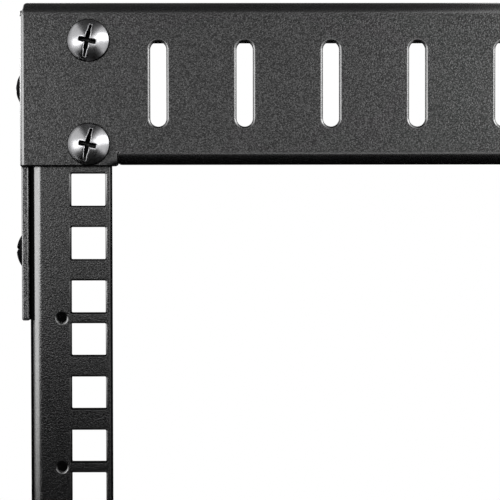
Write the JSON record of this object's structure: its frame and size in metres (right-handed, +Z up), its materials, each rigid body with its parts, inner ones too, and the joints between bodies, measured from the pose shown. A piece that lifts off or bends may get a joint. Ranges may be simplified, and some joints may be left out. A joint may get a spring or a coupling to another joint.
{
  "type": "two-post open-frame rack",
  "caption": "Free-standing open-frame equipment rack with square-hole posts, slotted folded rails, rear gussets and foot tubes on levelling feet.",
  "frame": {"origin": "on the floor, midway between the posts and midway along the foot tubes", "axes": "+X to the right seen from the front, +Y to the back, +Z up"},
  "size_m": [0.5048, 0.466, 0.8592],
  "materials": {
    "powder_coat": "fine-textured black powder coat",
    "bright_zinc": "bright zinc plate",
    "plug_plastic": "moulded black plastic",
    "pad_rubber": "black rubber"
  },
  "bodies": {
    "root": {"left_post": "powder_coat", "right_post": "powder_coat", "top_rail": "powder_coat", "bottom_rail": "powder_coat", "left_foot_tube": "powder_coat", "right_foot_tube": "powder_coat", "left_gusset": "powder_coat", "right_gusset": "powder_coat", "front_left_plug": "plug_plastic", "front_left_stud": "bright_zinc", "front_left_pad": "pad_rubber", "front_right_plug": "plug_plastic", "front_right_stud": "bright_zinc", "front_right_pad": "pad_rubber", "rear_left_plug": "plug_plastic", "rear_left_stud": "bright_zinc", "rear_left_pad": "pad_rubber", "rear_right_plug": "plug_plastic", "rear_right_stud": "bright_zinc", "rear_right_pad": "pad_rubber"}
  },
  "joints": []
}
